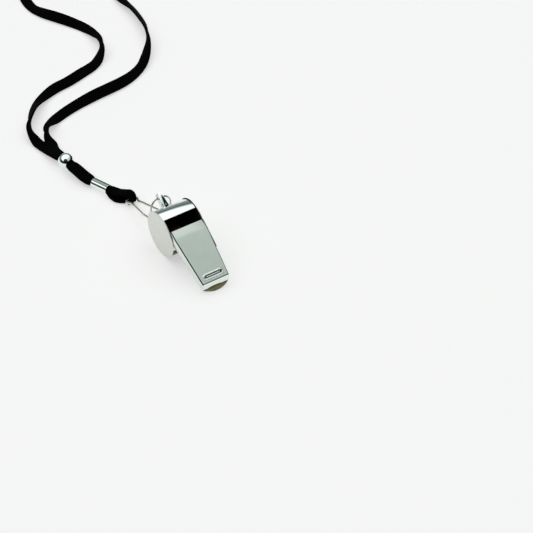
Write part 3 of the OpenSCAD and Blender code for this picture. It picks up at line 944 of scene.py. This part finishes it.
def add_shell():
    """Top plate, side walls and front lip, folded from one sheet. The top faces carry a painted reflection
    grey, the folds along the top edges painted dark reflection lines and the lip a painted highlight.
    """
    corners, faces = {}, []
    for side, s in (("l", -1), ("r", 1)):
        def put(key, x, z, s=s, side=side):
            corners[side + key] = (x, s * half_w(x), z)
        put("top0", WINDOW_FRONT, TOP_Z)
        put("top1", TAPER_X, TOP_Z)
        put("crease", CREASE_X, TOP_Z)
        put("lip", LIP_X, LIP_Z)
        put("low", LIP_X, base_z(LIP_X))
        put("foot", FOOT_X, base_z(FOOT_X))
        put("bend", TAPER_X, math.sqrt(WALL_R ** 2 - TAPER_X ** 2))
        rear = []
        steps = 10
        for k in range(1, steps + 1):
            x = TAPER_X + (WINDOW_FRONT - TAPER_X) * k / steps
            put(f"rear{k}", x, math.sqrt(WALL_R ** 2 - x * x))
            rear.append(f"{side}rear{k}")
        faces.append([side + "top0", side + "top1", side + "bend"] + rear)
        faces.append([side + key for key in ("top1", "crease", "lip", "low", "foot", "bend")])
    faces.append(["ltop0", "rtop0", "rtop1", "ltop1"])
    faces.append(["ltop1", "rtop1", "rcrease", "lcrease"])
    faces.append(["lcrease", "rcrease", "rlip", "llip"])
    folds = []
    for side in "lr":
        edge = [side + key for key in ("top0", "top1", "crease", "lip")]
        folds += list(zip(edge, edge[1:]))
    folds.append(("lcrease", "rcrease"))
    obj = sheet_from("mouthpiece_cover", corners, faces, folds, 0.62, WHISTLE_PLACE,
                     [SATIN, BRASS, TOP_REFLECTION_GREY, SHADED, POLISH_AND_HIGHLIGHT])
    round_edges(obj, 0.07, 2, 50)

    def painted_top_faces(centre, normal, low, high):
        place = TO_WHISTLE @ centre
        return low < lean(normal) < high and place.z > TOP_Z - 0.7 and place.x > WINDOW_FRONT
    # Top faces get the top plate's painted reflection grey
    paint(obj, 2, lambda centre, normal: painted_top_faces(centre, normal, -1, 18))
    # Folds along the top edges get painted dark reflection lines in the shaded plate
    paint(obj, 3, lambda centre, normal: abs(normal.y) > 0.2 and painted_top_faces(centre, normal, 18, 72))

    # The lip band gets the bright plate as a painted highlight
    def lip_highlight(centre, normal):
        return (TO_WHISTLE @ centre).x > CREASE_X and abs(normal.y) < 0.2 and 30 < lean(normal) < 80
    paint(obj, 4, lip_highlight)
    whistle_piece(obj, "plated_sheet", "mouthpiece_shell")


def add_ridge():
    """Bite ridge pressed up in the top plate: an oval rim with a small bar inside, in the bright plate as a
    painted highlight, with painted shade in the groove between rim and bar.
    """
    centre_x, length, width, height = 30.9, 10.8, 2.8, 0.42
    rim, bar = 0.72, 0.55
    margin = 0.4
    groove, bar_top = 0.8, 0.28
    half_straight = (length - width) / 2
    bar_half = (length - 4.6 * rim) / 2

    def bump(distance, half):
        share = min(1, abs(distance) / half)
        return math.cos(share * math.pi / 2) ** 0.8

    def lift(x, y):
        straight = max(0, abs(y) - half_straight)
        from_middle = math.hypot(x, straight)
        ring = bump(from_middle - (width - rim) / 2, rim / 2 + 0.08)
        bar_y = max(0, abs(y) - bar_half)
        inner = bump(math.hypot(x, bar_y), bar / 2 + 0.08)
        inside = from_middle < (width - rim) / 2
        floor = -0.05 if not inside else 0.03
        return max(floor, height * ring, height * 0.8 * inner)

    round_steps, straight_steps, rings = 24, 40, 34
    half = [(math.cos(math.pi * k / round_steps), math.sin(math.pi * k / round_steps), half_straight)
            for k in range(round_steps + 1)]
    straight = [half_straight * (1 - 2 * k / straight_steps) for k in range(1, straight_steps)]
    other = [(-c, -s, -y) for c, s, y in half]
    outline = half + [(-1, 0, y) for y in straight] + other + [(1, 0, -y) for y in straight]
    n = len(outline)
    reach = width / 2 + margin
    vertices = []
    for i in range(rings):
        d = reach * (1 - i / rings)
        for c, s, y in outline:
            vertices.append((centre_x + d * c, y + d * s, TOP_Z + lift(d * c, y + d * s)))
    faces = ring_faces(rings, n)
    skirt = len(vertices)
    for c, s, y in outline:
        vertices.append((centre_x + reach * c, y + reach * s, TOP_Z - 0.3))
    faces += [(k, (k + 1) % n, skirt + (k + 1) % n, skirt + k) for k in range(n)]
    faces.append(tuple(range(skirt, skirt + n)))
    faces.append(tuple(range((rings - 1) * n, rings * n)))
    # The ridge is all in the bright plate, a painted highlight; the shaded plate is painted shade in the
    # groove
    obj = mesh_piece("bite_ridge", vertices, faces, WHISTLE_PLACE, [POLISH_AND_HIGHLIGHT, SHADED], 60)

    def painted_groove_shade(centre, normal):
        place = TO_WHISTLE @ centre
        x, y = place.x - centre_x, abs(place.y)
        from_middle = math.hypot(x, max(0, y - half_straight))
        from_bar = math.hypot(x, max(0, y - bar_half))
        return from_middle < groove and from_bar > bar_top
    # Groove faces between rim and bar get painted shade
    paint(obj, 1, painted_groove_shade)
    whistle_piece(obj, "plated_sheet")


def add_base():
    """Lower plate with the rounded jaw; bare brass above and plated below."""
    outline = []
    jaw_half = MOUTH_W / 2 - SHEET_T / 2
    out = JAW_X - LIP_X
    jaw_r = (jaw_half ** 2 + out ** 2) / (2 * out)
    reach = math.degrees(math.asin(jaw_half / jaw_r))
    for x in (BASE_REAR_X, LIP_X):
        outline.append((x, -half_w(x) + SHEET_T + 0.01))
    steps = 32
    for k in range(steps + 1):
        a = math.radians(-reach + 2 * reach * k / steps)
        outline.append((JAW_X - jaw_r + jaw_r * math.cos(a), jaw_r * math.sin(a)))
    for x in (LIP_X, BASE_REAR_X):
        outline.append((x, half_w(x) - SHEET_T - 0.01))
    n = len(outline)
    vertices = [(x, y, base_z(x)) for x, y in outline] + [(x, y, base_z(x) + SHEET_T) for x, y in outline]
    faces = [tuple(range(n)), tuple(range(n, 2 * n))]
    faces += [(k, (k + 1) % n, n + (k + 1) % n, n + k) for k in range(n)]
    obj = mesh_piece("lower_plate", vertices, faces, WHISTLE_PLACE, [SATIN, BRASS], 35)
    round_edges(obj, 0.12, 3, 40)
    paint(obj, 1, lambda centre, normal: normal.dot(PLATE_UP) > 0.9)
    whistle_piece(obj, "bare_brass", "mouthpiece_base")


def add_lug():
    """Folded lug behind the drum, with a hole through each cheek for the ring."""
    end, top, low = -(WALL_R + 7.8), 1.3, -2.3
    hole_x, hole_z, hole_r = end + 1.8, top - 2.3, 0.95
    root = -WALL_R + 0.06

    def half(x):
        return 1.05 + (x - end) * (3.0 - 1.05) / -end
    corners, faces, folds = {}, [], []
    for side, s in (("l", -1), ("r", 1)):
        corners[side + "end_top"] = (end, s * half(end), top)
        corners[side + "root_top"] = (root, s * half(root), top)
        corners[side + "root_low"] = (root, s * half(root), low)
        corners[side + "end_low"] = (end, s * half(end), low)
        faces.append([side + key for key in ("end_top", "root_top", "root_low", "end_low")])
        folds.append((side + "end_top", side + "root_top"))
    faces.append(["lend_top", "rend_top", "rroot_top", "lroot_top"])
    obj = sheet_from("lug", corners, faces, folds, 0.45, WHISTLE_PLACE, [POLISH, POLISH])
    punch_v, punch_f = lathe([(-6, 0), (-6, hole_r), (6, hole_r), (6, 0)], 48)
    turn = Matrix.Translation((hole_x, 0, hole_z)) @ Matrix.Rotation(math.radians(90), 4, "Z")
    punch = mesh_piece("punch", punch_v, punch_f, WHISTLE_PLACE @ turn, [POLISH])
    weld(punch.data)
    cut = obj.modifiers.new("holes", "BOOLEAN")
    cut.operation = "DIFFERENCE"
    cut.solver = "EXACT"
    cut.object = punch
    bake(obj, 35)
    bpy.data.objects.remove(punch)
    round_edges(obj, 0.08, 2, 50)
    whistle_piece(obj, "plated_strip", "lanyard_lug")


def add_pea():
    """Cork ball with a grainy, pitted skin."""
    low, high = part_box("pea")
    centre, radius = (low + high) / 2, (high.z - low.z) / 2
    bm = bmesh.new()
    bmesh.ops.create_icosphere(bm, subdivisions=5, radius=1)
    for v in bm.verts:
        d = v.co.normalized()
        grain = noise.noise(d * 9) * 0.5 + noise.noise(d * 23) * 0.3
        v.co = centre + d * radius * (0.975 + 0.02 * grain)
    mesh = bpy.data.meshes.new("cork_pea")
    bm.to_mesh(mesh)
    bm.free()
    obj = mesh_object("cork_pea", mesh, [CORK], 80)
    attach(obj, "pea")
    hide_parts("pea")


def dress_nodes():
    """The windway's ramp keeps its own shape and gets its metal."""
    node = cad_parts["windway_floor"]
    node.data.materials.clear()
    node.data.materials.append(BRASS)


# ---------------------------------------------------------------- floor and light
def add_floor():
    """Plain pale floor, large enough for every view."""
    material, g, shader, place = new_material("pale_floor", (0.6, 0.6, 0.6), 0.9, 0)
    shader.inputs["Specular IOR Level"].default_value = 0.1
    shader.inputs["Emission Color"].default_value = (1, 1, 1, 1)
    shader.inputs["Emission Strength"].default_value = 0.52
    size = 4
    mesh = bpy.data.meshes.new("floor")
    corners = [(-size, -size, 0), (size, -size, 0), (size, size, 0), (-size, size, 0)]
    mesh.from_pydata(corners, [], [(0, 1, 2, 3)])
    floor = mesh_object("floor", mesh, [material])


def add_light():
    """Soft studio light: a bright tent above a dark room, a teal wall behind the drum, a grey
    card over the mouth and the dark shape of whoever stands at the camera."""
    world = bpy.data.worlds.new("studio")
    SCENE.world = world
    world.use_nodes = True
    g = Graph(world.node_tree)
    out = g.node("ShaderNodeOutputWorld")
    background = g.node("ShaderNodeBackground", in_Strength=1.2)
    g.link(background, "Background", out, "Surface")
    place = g.node("ShaderNodeTexCoord")
    parts = g.node("ShaderNodeSeparateXYZ")
    g.link(place, "Generated", parts, "Vector")
    height = g.node("ShaderNodeMapRange")
    height.inputs["From Min"].default_value = -1
    height.inputs["From Max"].default_value = 1
    g.link(parts, "Z", height, "Value")
    room = (0.012, 0.018, 0.016)
    wall = (0.26, 0.33, 0.31)
    tent = (1.0, 1.0, 0.985)
    sides = g.ramp([(0.0, tent), (0.49, tent), (0.505, room), (0.725, room), (0.765, wall), (0.80, tent)])
    far_wall = (0.17, 0.21, 0.2)
    near_wall = (0.30, 0.36, 0.345)
    rear = g.ramp([(0.0, tent), (0.45, wall), (0.60, far_wall), (0.665, far_wall), (0.695, room),
                   (0.72, far_wall), (0.76, near_wall), (0.80, tent)])
    for bands in (sides, rear):
        g.link(height, "Result", bands, "Fac")

    def share(value, output, low, high):
        made = g.node("ShaderNodeMapRange", interpolation_type="SMOOTHSTEP")
        made.inputs["From Min"].default_value = low
        made.inputs["From Max"].default_value = high
        g.link(value, output, made, "Value")
        return made

    surroundings = g.node("ShaderNodeMix", data_type="RGBA")
    g.link(share(parts, "X", -0.35, -0.6), "Result", surroundings, "Factor")
    g.link(sides, "Color", surroundings, 6)
    g.link(rear, "Color", surroundings, 7)
    to_card = g.node("ShaderNodeMath", operation="MULTIPLY_ADD")
    to_card.inputs[1].default_value = 0.9
    g.link(parts, "Y", to_card, 0)
    g.link(parts, "X", to_card, 2)
    card = g.ramp([(0, (1, 1, 1)), (1, (0.47, 0.55, 0.52))])
    g.link(share(to_card, "Value", 0.32, 0.85), "Result", card, "Fac")
    carded = g.product(surroundings, 2, card, "Color")
    to_person = (0.604, -0.409, 0.684)
    facing = g.node("ShaderNodeVectorMath", operation="DOT_PRODUCT")
    facing.inputs[1].default_value = to_person
    g.link(place, "Generated", facing, 0)
    person = g.ramp([(0, (1, 1, 1)), (1, (0.02, 0.025, 0.022))])
    g.link(share(facing, "Value", 0.87, 0.90), "Result", person, "Fac")
    g.link(g.product(carded, 2, person, "Color"), 2, background, "Color")


# ---------------------------------------------------------------- the scene
SCENE.view_settings.view_transform = "Standard"
add_camera()
cord, cord_path = add_cord()
tie = add_tie()
crimp = add_crimp()
bead = add_bead()
end_loop = add_end_loop()
hook_wire, spring_leg = add_hook()
add_ring()
add_side_discs()
add_drum_wall()
add_shell()
add_ridge()
add_base()
add_lug()
add_pea()
dress_nodes()
add_floor()
add_light()
